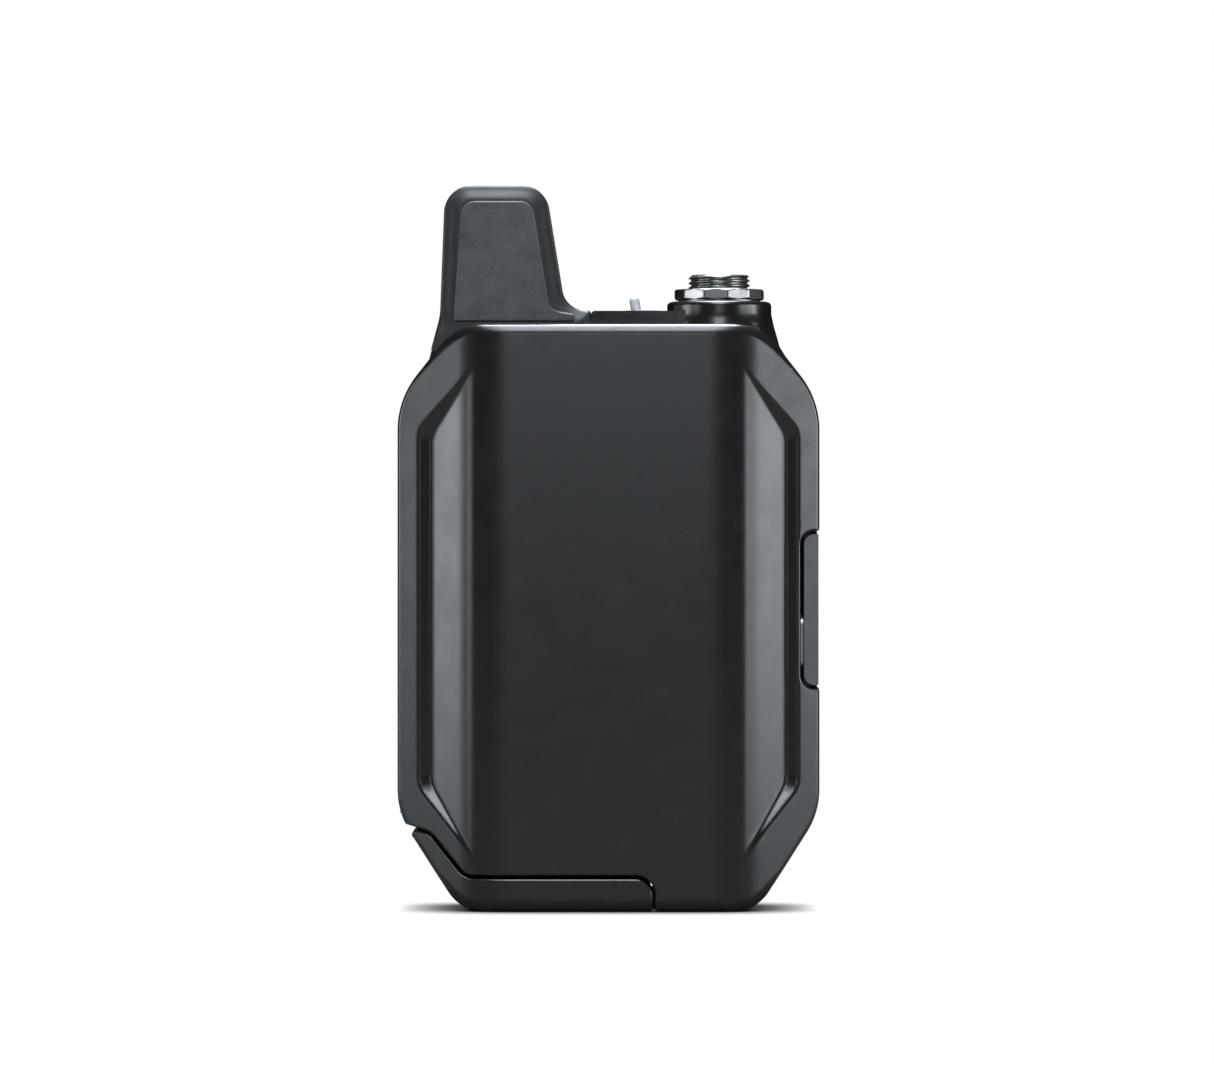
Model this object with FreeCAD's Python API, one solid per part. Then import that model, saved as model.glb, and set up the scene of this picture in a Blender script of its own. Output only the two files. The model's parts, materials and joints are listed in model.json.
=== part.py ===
"""Wireless bodypack transmitter, as separate pieces, one STEP file for each.

Millimetres. +X is to the right seen from the front, the front faces -Y, +Z is up,
and the origin is the middle of the flat base.
"""
import FreeCAD, Part
import math
import os

Vector = FreeCAD.Vector

# ---------------------------------------------------------------- driving dimensions
HALF_WIDTH = 32.5
HEIGHT = 90.2
FRONT = -11.5
BACK = 11.5
WALL = 1.3
COVER_BACK = -3.15          # rear rim of the front cover
CHASSIS_FRONT = -2.85       # front rim of the rear chassis

# Corners of the body seen from the front: x, z, corner radius.
BODY_CORNERS = [
    (22.7, 0.0, 6.4), (HALF_WIDTH, 15.0, 12.0), (HALF_WIDTH, 78.6, 13.3), (23.3, HEIGHT, 9.0),
    (-23.3, HEIGHT, 9.0), (-HALF_WIDTH, 78.6, 13.3), (-HALF_WIDTH, 15.0, 12.0), (-22.7, 0.0, 6.4)]

# The front is flat in the middle, rolls over and slopes back to the sides.
FLAT_HALF = 15.2
ROLL_RADIUS = 19.4
SLOPE_ANGLE = math.radians(25.0)
# A steeper facet is sunk into each slope.
FACET_ANGLE = math.radians(35.0)
FACET_EDGE_X = 27.2
FACET_EDGE_DROP = 4.99
POCKET_EDGE_X = 29.2
POCKET_TOP_Z = 74.1
POCKET_LOW_Z = 19.0
POCKET_TOP_ANGLE = math.radians(42.5)
POCKET_LOW_ANGLE = math.radians(39.0)
POCKET_WALL_GRADE = 0.70    # depth gained per millimetre in from the pocket's outline

DECK_TOP = 92.4
DECK_LEFT = -2.7
DECK_BACK = 9.6
CONNECTOR_X = 17.2
CONNECTOR_Y = 3.3
BOSS_TOP = 93.95
BOSS_RADIUS = 8.1

DOOR_END_X = 6.7
DOOR_CORNERS = [
    (DOOR_END_X, -5.0, 0.0), (DOOR_END_X, 5.1, 2.6), (-22.11, 5.1, 3.0), (-27.53, 11.72, 2.3),
    (-40.0, 15.28, 0.0), (-40.0, -5.0, 0.0)]
DOOR_GAP = 0.5
DOOR_HINGE_X = 5.0
DOOR_HINGE_Z = 1.7
DOOR_PIN_RADIUS = 0.5
KNUCKLE_RADIUS = 1.4
LUG_FRONT = -2.45
LUG_BACK = 7.2
LUG_GAP = 0.3

INSERT_LOW_Z = 34.7
INSERT_HIGH_Z = 57.9
INSERT_X = 30.1
INSERT_BACK = 5.6
INSERT_GAP = 0.55
BUTTON_Y = 0.6
BUTTON_Z = 52.0
BUTTON_RADIUS = 1.9
USB_Z = 41.0

LEVER_X = 5.3
LEVER_Y = 1.5
LEVER_Z = 86.1
LEVER_TOP_Z = 94.25
LEVER_RADIUS = 0.72
LEVER_LEAN = 9.0            # degrees to the left at rest

ANTENNA_FRONT = -3.0
ANTENNA_SPLIT = 1.0
ANTENNA_BACK = 5.0
ANTENNA_CORNERS = [
    (-28.1, 83.9, 0.0), (-3.0, 83.9, 0.0), (-3.0, 92.5, 0.5), (-6.6, 92.5, 3.6),
    (-9.73, 111.8, 4.3), (-25.27, 111.8, 4.3), (-26.05, 91.6, 10.0)]
PANEL_CORNERS = [
    (-24.0, 90.7, 0.4), (-5.2, 90.7, 0.3), (-5.2, 91.9, 0.5), (-9.0, 92.6, 2.4),
    (-11.7, 109.4, 2.2), (-22.8, 109.4, 2.2)]

BATTERY_LOW = Vector(-26.0, -3.0, 10.2)
BATTERY_HIGH = Vector(3.2, 7.5, 62.2)
BAY_WALL = 0.8
BAY_GAP = 0.3
BAY_MOUTH_Z = 12.2

BOARD_Y = -8.1              # front face of the main board
BOARD_THICK = 1.0
CASE_SCREWS = [(-24.8, 74.0), (24.8, 74.0), (24.0, 12.5), (11.2, 9.0)]
BOARD_SCREWS = [(-15.5, 22.0), (15.5, 22.0), (-15.5, 80.0), (15.5, 78.0)]
POST_RADIUS = 2.4

CLIP_X = 18.5
CLIP_PIVOT_Y = 14.0
CLIP_PIVOT_Z = 72.0
CLIP_WIRE = 1.1
CLIP_LEG_Y = 17.4
CLIP_TIP_Z = 20.0

LOCK_Z = 17.0               # height of the lock's stem
LOCK_BOLT_X = -28.25
LOCK_BOLT_Z = 13.5
LOCK_BOLT_RADIUS = 0.35

LED_X = 0.4
LED_Y = 6.6
CONTACT_X = -19.5
CONTACT_Y = 2.1
CONTACT_LOW_Z = 82.5
ANTENNA_SHELL_SCREWS = [(-17.4, 104.0), (-10.6, 95.6)]      # x, z
ANTENNA_MOUNT_SCREWS = [(-14.6, 3.0), (-7.0, 3.0)]          # x, y

THREAD_RADIUS = 4.77
THREAD_TOP = 98.1
NUT_LOW = 94.23
NUT_TOP = 95.85
NUT_SIDES = 12
NUT_CORNER_RADIUS = 7.05

SWITCH_LOW = 82.0
LEVER_TAIL = 2.3
SLIDER_ARM = 1.9
TERMINAL_X = (-17.0, -11.7, -6.4)
RIB_Y = (-0.5, 4.0)
IO_BOARD_Y = 2.25


# ---------------------------------------------------------------- shape helpers
def box(low, high):
    size = Vector(*high) - Vector(*low)
    return Part.makeBox(size.x, size.y, size.z, Vector(*low))


def rod(x, y, z, radius, length, direction):
    return Part.makeCylinder(radius, length, Vector(x, y, z), Vector(*direction))


def rod_y(x, z, radius, low_y, high_y):
    return rod(x, low_y, z, radius, high_y - low_y, (0, 1, 0))


def rod_z(x, y, radius, low_z, high_z):
    return rod(x, y, low_z, radius, high_z - low_z, (0, 0, 1))


def rod_x(y, z, radius, low_x, high_x):
    return rod(low_x, y, z, radius, high_x - low_x, (1, 0, 0))


def fuse(first, *others):
    return first.multiFuse(list(others)).removeSplitter()


def rounded_wire(points, radii):
    """Closed wire through the points, with an arc of the given radius at each."""
    edges = []
    ends = []
    count = len(points)
    for index in range(count):
        point = points[index]
        back = (points[index - 1] - point).normalize()
        ahead = (points[(index + 1) % count] - point).normalize()
        radius = radii[index]
        if radius == 0:
            ends.append((point, point, None))
            continue
        half = back.getAngle(ahead) / 2
        reach = radius / math.tan(half)
        middle = point + (back + ahead).normalize() * (radius / math.sin(half) - radius)
        ends.append((point + back * reach, point + ahead * reach, middle))
    for index in range(count):
        start, stop, middle = ends[index]
        if middle is not None:
            edges.append(Part.Arc(start, middle, stop).toShape())
        next_start = ends[(index + 1) % count][0]
        edges.append(Part.LineSegment(stop, next_start).toShape())
    return Part.Wire(edges)


def prism(corners, low_y, high_y):
    """Front-view outline of x, z, radius corners, carried from low_y to high_y."""
    points = [Vector(x, low_y, z) for x, z, radius in corners]
    wire = rounded_wire(points, [radius for x, z, radius in corners])
    return Part.Face(wire).extrude(Vector(0, high_y - low_y, 0))


def inset(corners, distance):
    """The same outline with every side moved inwards (anticlockwise corners)."""
    count = len(corners)
    moved = []
    for index in range(count):
        x, z, radius = corners[index]
        before = corners[index - 1]
        after = corners[(index + 1) % count]
        in_x, in_z = x - before[0], z - before[1]
        out_x, out_z = after[0] - x, after[1] - z
        in_length = math.hypot(in_x, in_z)
        out_length = math.hypot(out_x, out_z)
        normal_a = (-in_z / in_length, in_x / in_length)
        normal_b = (-out_z / out_length, out_x / out_length)
        scale = distance / (1 + normal_a[0] * normal_b[0] + normal_a[1] * normal_b[1])
        turn = in_x * out_z - in_z * out_x
        new_radius = radius - distance if turn > 0 else radius + distance
        moved.append((x + (normal_a[0] + normal_b[0]) * scale,
                      z + (normal_a[1] + normal_b[1]) * scale,
                      max(new_radius, 0.3) if radius else 0.0))
    return moved


def slope_drop(x):
    roll_drop = ROLL_RADIUS * (1 - math.cos(SLOPE_ANGLE))
    roll_end = FLAT_HALF + ROLL_RADIUS * math.sin(SLOPE_ANGLE)
    return roll_drop + (x - roll_end) * math.tan(SLOPE_ANGLE)


def front_form(depth):
    """Everything behind the front relief, moved back by depth, up the whole height."""
    radius = ROLL_RADIUS - depth
    centre_y = FRONT + ROLL_RADIUS
    far = HALF_WIDTH + 3.0

    def roll_point(side, angle):
        x = FLAT_HALF + radius * math.sin(angle)
        return Vector(side * x, centre_y - radius * math.cos(angle), -5.0)

    def far_point(side):
        tangent = roll_point(side, SLOPE_ANGLE)
        run = far - abs(tangent.x)
        return Vector(side * far, tangent.y + run * math.tan(SLOPE_ANGLE), -5.0)

    def roll_arc(side, first, last):
        middle = roll_point(side, (first + last) / 2)
        return Part.Arc(roll_point(side, first), middle, roll_point(side, last)).toShape()

    def line(start, stop):
        return Part.LineSegment(start, stop).toShape()

    back_left = Vector(-far, 20.0, -5.0)
    back_right = Vector(far, 20.0, -5.0)
    edges = [
        line(back_left, far_point(-1)), line(far_point(-1), roll_point(-1, SLOPE_ANGLE)),
        roll_arc(-1, SLOPE_ANGLE, 0), line(roll_point(-1, 0), roll_point(1, 0)),
        roll_arc(1, 0, SLOPE_ANGLE), line(roll_point(1, SLOPE_ANGLE), far_point(1)),
        line(far_point(1), back_right), line(back_right, back_left)]
    return Part.Face(Part.Wire(edges)).extrude(Vector(0, 0, 120))


def half_space(point, normal):
    """A large block on the side of the plane that the normal points to."""
    block = Part.makeBox(400, 400, 400, Vector(-200, -200, 0))
    block.Placement = FreeCAD.Placement(point, FreeCAD.Rotation(Vector(0, 0, 1), normal))
    return block


def mirrored(shape):
    return shape.mirror(Vector(0, 0, 0), Vector(1, 0, 0))


def facet_pocket(widen):
    """The material taken out of the right slope; widen moves its faces outwards."""
    rise = math.tan(FACET_ANGLE)
    inner_x = 21.0
    edge_drop = FACET_EDGE_DROP + widen / math.cos(FACET_ANGLE)
    wall_rise = POCKET_WALL_GRADE - math.tan(SLOPE_ANGLE)
    outer_x = 31.2
    outline = [
        Vector(inner_x, FRONT + edge_drop - (FACET_EDGE_X - inner_x) * rise, 0.0),
        Vector(FACET_EDGE_X, FRONT + edge_drop, 0.0),
        Vector(outer_x, FRONT + edge_drop - (outer_x - FACET_EDGE_X) * wall_rise, 0.0),
        Vector(outer_x, FRONT - 3.0, 0.0),
        Vector(inner_x, FRONT - 3.0, 0.0)]
    tool = Part.Face(Part.makePolygon(outline + outline[:1])).extrude(Vector(0, 0, HEIGHT + 5))
    ends = ((POCKET_TOP_Z, POCKET_TOP_ANGLE, 1), (POCKET_LOW_Z, POCKET_LOW_ANGLE, -1))
    for corner_z, angle, way in ends:
        grade = math.tan(SLOPE_ANGLE) - POCKET_WALL_GRADE * math.cos(angle)
        normal = Vector(-grade, 1, way * POCKET_WALL_GRADE * math.sin(angle))
        point = Vector(POCKET_EDGE_X, FRONT + slope_drop(POCKET_EDGE_X) + widen, corner_z)
        tool = tool.cut(half_space(point, normal))
    return tool


def edges_where(shape, test):
    return [edge for edge in shape.Edges if test(edge.BoundBox)]


# ---------------------------------------------------------------- shared forms
BODY = prism(BODY_CORNERS, -20, BACK)
INNER_BODY = prism(inset(BODY_CORNERS, WALL), -20, BACK - WALL)
DOOR_REGION = prism(DOOR_CORNERS, -20, 20)
DOOR_OPENING = prism(inset(DOOR_CORNERS, -DOOR_GAP), -20, 20)


def back_rounded_body(back, radius):
    body = prism(BODY_CORNERS, CHASSIS_FRONT, back)
    rim = edges_where(body, lambda b: b.YMin > back - 0.01)
    return body.makeFillet(radius, rim)


def insert_cutout(gap, low_y, high_y):
    """Opening in the right side for the insert, with round corners at its left."""
    corners = [
        (40.0, INSERT_LOW_Z - gap, 0.0), (40.0, INSERT_HIGH_Z + gap, 0.0),
        (INSERT_X - gap, INSERT_HIGH_Z + gap, 1.6 + gap), (INSERT_X - gap, INSERT_LOW_Z - gap, 1.6 + gap)]
    return prism(corners, low_y, high_y)


BACK_RADIUS = 2.2
REAR_FORM = back_rounded_body(BACK, BACK_RADIUS)


# ---------------------------------------------------------------- casing
def front_cover():
    solid = BODY.common(front_form(0)).common(box((-60, -20, -5), (60, COVER_BACK, 120)))
    pocket = facet_pocket(0)
    solid = solid.cut(pocket).cut(mirrored(pocket))
    cavity = INNER_BODY.common(front_form(WALL)).common(box((-60, -20, -5), (60, COVER_BACK, 120)))
    thick_flank = facet_pocket(WALL)
    cavity = cavity.cut(thick_flank).cut(mirrored(thick_flank))
    solid = solid.cut(cavity)
    inner_face = FRONT + WALL
    for x, z in BOARD_SCREWS:
        solid = fuse(solid, rod_y(x, z, 1.8, inner_face - 0.4, BOARD_Y))
        solid = solid.cut(rod_y(x, z, 0.62, inner_face + 0.1, BOARD_Y))
    for x, z in CASE_SCREWS:
        post = rod_y(x, z, POST_RADIUS, inner_face, COVER_BACK).common(BODY).common(front_form(WALL / 2))
        post = post.cut(pocket).cut(mirrored(pocket))
        solid = fuse(solid, post)
        solid = solid.cut(rod_y(x, z, 1.7, COVER_BACK - 3.4, COVER_BACK))
    solid = solid.cut(DOOR_OPENING).cut(corner_waste(DOOR_END_X + DOOR_GAP, 0.8, 1))
    return solid.cut(insert_cutout(INSERT_GAP, -20, 0))


def boss_form(thickness):
    """Round boss that carries the connector, flaring down to the sides; thickness shrinks it."""
    top = BOSS_TOP - thickness
    profile = [
        Vector(0, 0, 82.0), Vector(12.5 - thickness, 0, 82.0), Vector(11.7 - thickness, 0, 83.3),
        Vector(9.4 - thickness, 0, 87.0), Vector(8.5 - thickness, 0, 90.2),
        Vector(BOSS_RADIUS - thickness, 0, 92.0), Vector(BOSS_RADIUS - thickness, 0, top), Vector(0, 0, top)]
    face = Part.Face(Part.makePolygon(profile + profile[:1]))
    solid = face.revolve(Vector(0, 0, 0), Vector(0, 0, 1), 360)
    if thickness == 0:
        rim = edges_where(solid, lambda b: b.ZMin > top - 0.01)
        solid = solid.makeFillet(0.7, rim)
    solid.translate(Vector(CONNECTOR_X, CONNECTOR_Y, 0))
    return solid


def deck_form(thickness):
    left_x = DECK_LEFT + thickness
    top_z = DECK_TOP - thickness
    outline = [(left_x, 80.0, 0.0), (CONNECTOR_X, 80.0, 0.0), (CONNECTOR_X, top_z, 0.0),
               (left_x, top_z, max(0.6 - thickness, 0.0))]
    solid = prism(outline, CHASSIS_FRONT + thickness, DECK_BACK - thickness)
    if thickness == 0:
        back_edge = edges_where(solid, lambda b: b.YMin > DECK_BACK - 0.01 and b.ZMin > DECK_TOP - 0.01)
        solid = solid.makeFillet(1.2, back_edge)
    return solid


def rear_chassis():
    behind_cover = box((-60, CHASSIS_FRONT, -5), (60, 30, 120))
    above_cover = box((-60, -20, HEIGHT + 0.1), (60, 30, 120))
    boss = fuse(boss_form(0).common(behind_cover), boss_form(0).common(above_cover))
    boss = boss.common(box((0, -20, 80), (60, BACK, 120)))
    solid = fuse(REAR_FORM, deck_form(0), boss)
    solid = solid.cut(INNER_BODY.common(behind_cover))
    solid = solid.cut(deck_form(WALL).common(box((-60, CHASSIS_FRONT, 86), (60, 30, 120))))
    solid = solid.cut(rod_z(CONNECTOR_X, CONNECTOR_Y, 6.8, 86.0, BOSS_TOP - 1.6))
    for x, z in CASE_SCREWS:
        solid = fuse(solid, rod_y(x, z, POST_RADIUS, CHASSIS_FRONT, BACK - 0.5).common(REAR_FORM))
        solid = solid.cut(rod_y(x, z, 1.15, -5, 15)).cut(rod_y(x, z, 2.0, BACK - 2.0, 15))
    solid = solid.cut(DOOR_OPENING).cut(corner_waste(DOOR_END_X + DOOR_GAP, 0.8, 1))
    solid = solid.cut(insert_cutout(INSERT_GAP, -20, INSERT_BACK + INSERT_GAP))
    lug_low = DOOR_HINGE_Z - KNUCKLE_RADIUS
    lug = fuse(rod_y(DOOR_HINGE_X, DOOR_HINGE_Z, KNUCKLE_RADIUS, LUG_FRONT, LUG_BACK),
               box((DOOR_HINGE_X, LUG_FRONT, lug_low), (9.5, LUG_BACK, lug_low + 2 * KNUCKLE_RADIUS)))
    solid = fuse(solid, lug)
    solid = solid.cut(rod_y(DOOR_HINGE_X, DOOR_HINGE_Z, DOOR_PIN_RADIUS + 0.02, -15, 15))
    solid = solid.cut(rod_z(CONNECTOR_X, CONNECTOR_Y, 4.6, 90.0, 100.0)).cut(bezel_form(0.05, 88.0, 100.0))
    solid = solid.cut(rod_z(LED_X, LED_Y, 1.0, 88.0, 100.0))
    solid = solid.cut(rod_z(CONTACT_X, CONTACT_Y, 1.6, 85.0, 100.0))
    for x, y in ANTENNA_MOUNT_SCREWS:
        solid = solid.cut(rod_z(x, y, 0.85, 80.0, 100.0))
    solid = solid.cut(box((-34, 0.9, LOCK_Z - 2.6), (-HALF_WIDTH + 0.75, 8.4, LOCK_Z + 2.6)))
    solid = solid.cut(box((-34, 2.5, LOCK_Z - 0.8), (-30, 6.7, LOCK_Z + 0.8)))
    return solid.cut(label_form(0.1))


def corner_waste(edge_x, radius, way):
    """What rounding removes at a corner of the base beside the door; way is +1 or -1 along X."""
    low_x = min(edge_x, edge_x + way * radius)
    square = box((low_x, -20, -1), (low_x + radius, 20, radius))
    return square.cut(rod_y(edge_x + way * radius, radius, radius, -20, 20))


def perimeter_seal():
    ring = prism(inset(BODY_CORNERS, 0.45), COVER_BACK, CHASSIS_FRONT)
    ring = ring.cut(prism(inset(BODY_CORNERS, 1.2), -20, 20))
    return ring.cut(DOOR_OPENING).cut(insert_cutout(INSERT_GAP, -20, 20))


def label_form(gap):
    return box((-13.5 - gap, BACK - 0.3, 32 - gap), (13.5 + gap, BACK - 0.05 + gap, 56 + gap))


# ---------------------------------------------------------------- battery door and lock
def battery_door():
    front_half = BODY.common(front_form(0)).common(box((-60, -20, -5), (60, CHASSIS_FRONT, 120)))
    whole = fuse(front_half, REAR_FORM)
    solid = whole.common(DOOR_REGION).cut(INNER_BODY.common(front_form(WALL)))
    solid = solid.cut(corner_waste(DOOR_END_X, 0.7, -1))
    for low_y, high_y in ((-10.4, LUG_FRONT - LUG_GAP), (LUG_BACK + LUG_GAP, 10.4)):
        solid = fuse(solid, rod_y(DOOR_HINGE_X, DOOR_HINGE_Z, KNUCKLE_RADIUS, low_y, high_y))
    solid = solid.cut(box((2.6, LUG_FRONT - LUG_GAP, -1), (8.0, LUG_BACK + LUG_GAP, 4.0)))
    solid = solid.cut(rod_y(DOOR_HINGE_X, DOOR_HINGE_Z, DOOR_PIN_RADIUS + 0.06, -9.5, 9.5))
    for y in RIB_Y:
        rib = box((-19.0, y, 0.5), (-3.0, y + 1.2, BATTERY_LOW.z - 0.7)).common(whole)
        solid = fuse(solid, rib)
    finger = box((LOCK_BOLT_X - 0.75, 0.0, 10.0), (LOCK_BOLT_X + 0.75, 2.4, LOCK_BOLT_Z + 0.7))
    finger = finger.common(prism(inset(BODY_CORNERS, WALL / 2), -20, 20))
    finger = finger.cut(rod_y(LOCK_BOLT_X, LOCK_BOLT_Z, LOCK_BOLT_RADIUS + 0.07, -20, 20))
    return fuse(solid, finger)


def battery_pad():
    return box((-19.0, RIB_Y[0], BATTERY_LOW.z - 0.7), (-3.0, RIB_Y[1] + 1.2, BATTERY_LOW.z - 0.1))


def door_lock():
    plate = box((-HALF_WIDTH + 0.15, 3.4, LOCK_Z - 2.4), (-HALF_WIDTH + 0.7, 8.2, LOCK_Z + 2.4))
    for step in range(3):
        groove_y = 4.8 + step
        groove = box((-33, groove_y, LOCK_Z - 1.8), (-HALF_WIDTH + 0.35, groove_y + 0.4, LOCK_Z + 1.8))
        plate = plate.cut(groove)
    stem = box((-HALF_WIDTH + 0.7, 5.0, LOCK_Z - 0.7), (LOCK_BOLT_X + 0.45, 6.6, LOCK_Z + 0.7))
    arm = box((LOCK_BOLT_X - 0.9, 5.0, LOCK_BOLT_Z - 0.6), (LOCK_BOLT_X + 0.45, 6.6, LOCK_Z + 0.7))
    bolt = rod_y(LOCK_BOLT_X, LOCK_BOLT_Z, LOCK_BOLT_RADIUS, 2.7, 5.2)
    return fuse(plate, stem, arm, bolt)


# ---------------------------------------------------------------- battery and bay
def battery_pack():
    pack = box(BATTERY_LOW, BATTERY_HIGH)
    pack = pack.makeFillet(1.2, pack.Edges)
    for x in TERMINAL_X:
        pack = pack.cut(terminal(x))
    return pack


def terminal(x):
    middle_y = (BATTERY_LOW.y + BATTERY_HIGH.y) / 2
    return box((x - 1.1, middle_y - 2.2, BATTERY_HIGH.z - 0.3), (x + 1.1, middle_y + 2.2, BATTERY_HIGH.z))


def contact_spring(x):
    middle_y = (BATTERY_LOW.y + BATTERY_HIGH.y) / 2
    top = BATTERY_HIGH.z + BAY_GAP + BAY_WALL
    leaf = box((x - 0.6, middle_y - 1.6, BATTERY_HIGH.z), (x + 0.6, middle_y + 1.2, BATTERY_HIGH.z + 0.25))
    riser = box((x - 0.6, middle_y + 0.95, BATTERY_HIGH.z), (x + 0.6, middle_y + 1.2, top + 1.2))
    return fuse(leaf, riser)


def battery_bay():
    room = Vector(BAY_GAP, BAY_GAP, BAY_GAP)
    skin = room + Vector(BAY_WALL, BAY_WALL, BAY_WALL)
    outer = box(BATTERY_LOW - skin, BATTERY_HIGH + skin).common(box((-60, -20, BAY_MOUTH_Z), (60, 20, 90)))
    solid = outer.cut(box(BATTERY_LOW - room, BATTERY_HIGH + room))
    middle_y = (BATTERY_LOW.y + BATTERY_HIGH.y) / 2
    for x in TERMINAL_X:
        solid = solid.cut(box((x - 0.7, middle_y + 0.85, BATTERY_HIGH.z), (x + 0.7, middle_y + 1.3, 70)))
    return solid


# ---------------------------------------------------------------- antenna
def antenna_form():
    return prism(ANTENNA_CORNERS, ANTENNA_FRONT, ANTENNA_BACK).cut(BODY)


def antenna_room():
    room = prism(inset(ANTENNA_CORNERS, 1.2), ANTENNA_FRONT + 1.6, ANTENNA_BACK - 1.2)
    return room.common(box((-60, -20, HEIGHT + 1.2), (60, 20, 120)))


def antenna_posts(low_y, high_y, hole):
    posts = []
    for x, z in ANTENNA_SHELL_SCREWS:
        posts.append(rod_y(x, z, 1.7, low_y, high_y).cut(rod_y(x, z, hole, low_y, high_y)))
    return posts


def antenna_front_shell():
    solid = antenna_form().common(box((-60, -20, 80), (0, ANTENNA_SPLIT, 120))).cut(antenna_room())
    solid = fuse(solid, *antenna_posts(ANTENNA_FRONT + 1.5, ANTENNA_SPLIT, 0.72))
    return solid.cut(prism(PANEL_CORNERS, ANTENNA_FRONT - 1, ANTENNA_FRONT + 0.6))


def antenna_rear_shell():
    solid = antenna_form().common(box((-60, ANTENNA_SPLIT, 80), (0, 20, 120))).cut(antenna_room())
    solid = fuse(solid, *antenna_posts(ANTENNA_SPLIT, ANTENNA_BACK - 1.1, 0.8))
    for x, z in ANTENNA_SHELL_SCREWS:
        solid = solid.cut(rod_y(x, z, 1.6, ANTENNA_BACK - 1.1, 20)).cut(rod_y(x, z, 0.8, 0, 20))
    for x, y in ANTENNA_MOUNT_SCREWS:
        solid = solid.cut(rod_z(x, y, 0.76, 80, 92.9))
    return solid.cut(rod_z(CONTACT_X, CONTACT_Y, 0.9, 80, 92.5))


def antenna_face_panel():
    return prism(inset(PANEL_CORNERS, 0.05), ANTENNA_FRONT - 0.25, ANTENNA_FRONT + 0.6)


def antenna_board():
    board = prism(inset(ANTENNA_CORNERS, 1.6), ANTENNA_SPLIT - 0.4, ANTENNA_SPLIT + 0.4)
    board = board.common(box((-22.5, -20, HEIGHT + 1.5), (-12.5, 20, 108.6)))
    for x, z in ANTENNA_SHELL_SCREWS:
        board = board.cut(rod_y(x, z, 1.9, -20, 20))
    return board


def antenna_contact():
    upright = rod_z(CONTACT_X, CONTACT_Y, 0.7, CONTACT_LOW_Z - 0.7, 96.0)
    return fuse(upright, rod_y(CONTACT_X, CONTACT_LOW_Z, 0.6, BOARD_Y + BOARD_THICK, CONTACT_Y))


# ---------------------------------------------------------------- microphone connector
def connector_barrel():
    body = rod_z(CONNECTOR_X, CONNECTOR_Y, 5.2, 84.0, 91.0)
    flange = rod_z(CONNECTOR_X, CONNECTOR_Y, 6.3, 91.0, BOSS_TOP - 1.65)
    neck = rod_z(CONNECTOR_X, CONNECTOR_Y, 4.55, BOSS_TOP - 1.65, NUT_TOP)
    thread = rod_z(CONNECTOR_X, CONNECTOR_Y, THREAD_RADIUS, NUT_TOP, THREAD_TOP)
    return fuse(body, flange, neck, thread).cut(rod_z(CONNECTOR_X, CONNECTOR_Y, 3.9, 80.0, 100.0))


def connector_nut():
    points = []
    for step in range(NUT_SIDES):
        angle = math.radians(360.0 / NUT_SIDES * (step + 0.5))
        points.append(Vector(CONNECTOR_X + NUT_CORNER_RADIUS * math.cos(angle),
                             CONNECTOR_Y + NUT_CORNER_RADIUS * math.sin(angle), NUT_LOW))
    solid = Part.Face(Part.makePolygon(points + points[:1])).extrude(Vector(0, 0, NUT_TOP - NUT_LOW))
    return solid.cut(rod_z(CONNECTOR_X, CONNECTOR_Y, 4.58, 90, 100))


def connector_washer():
    ring = rod_z(CONNECTOR_X, CONNECTOR_Y, 6.35, BOSS_TOP, NUT_LOW)
    return ring.cut(rod_z(CONNECTOR_X, CONNECTOR_Y, 4.8, 90, 100))


def pin_places():
    places = []
    for step in range(4):
        angle = math.radians(45 + 90 * step)
        places.append((CONNECTOR_X + 2.0 * math.cos(angle), CONNECTOR_Y + 2.0 * math.sin(angle)))
    return places


def connector_pins():
    return Part.Compound([rod_z(x, y, 0.5, 82.5, 96.2) for x, y in pin_places()])


def connector_insert():
    solid = rod_z(CONNECTOR_X, CONNECTOR_Y, 3.85, 84.5, 90.0)
    for x, y in pin_places():
        solid = solid.cut(rod_z(x, y, 0.52, 80, 100))
    return solid


# ---------------------------------------------------------------- power switch and light
def bezel_form(grow, low_z, high_z):
    points = [Vector(LEVER_X + side_x * (2.65 + grow), LEVER_Y + side_y * (1.95 + grow), low_z)
              for side_x, side_y in ((-1, -1), (1, -1), (1, 1), (-1, 1))]
    return Part.Face(rounded_wire(points, [1.9 + grow] * 4)).extrude(Vector(0, 0, high_z - low_z))


def switch_bezel():
    solid = bezel_form(0, DECK_TOP - 1.5, DECK_TOP + 0.15)
    return solid.cut(box((LEVER_X - 2.15, LEVER_Y - 0.95, 88), (LEVER_X + 2.15, LEVER_Y + 0.95, 100)))


def power_lever():
    tilt = math.radians(LEVER_LEAN)
    up = Vector(-math.sin(tilt), 0, math.cos(tilt))
    pivot = Vector(LEVER_X, LEVER_Y, LEVER_Z)
    reach = (LEVER_TOP_Z - LEVER_RADIUS - LEVER_Z) / math.cos(tilt)
    hub = rod_y(LEVER_X, LEVER_Z, 1.2, LEVER_Y - 1.1, LEVER_Y + 1.1)
    stick = Part.makeCylinder(LEVER_RADIUS, reach, pivot, up)
    tip = Part.makeSphere(LEVER_RADIUS, pivot + up * reach)
    tail = Part.makeCylinder(0.45, LEVER_TAIL, pivot, up * -1)
    return fuse(hub, stick, tip, tail).cut(rod_y(LEVER_X, LEVER_Z, 0.45, -5, 5))


def lever_pin():
    return rod_y(LEVER_X, LEVER_Z, 0.4, LEVER_Y - 2.5, LEVER_Y + 2.5)


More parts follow.
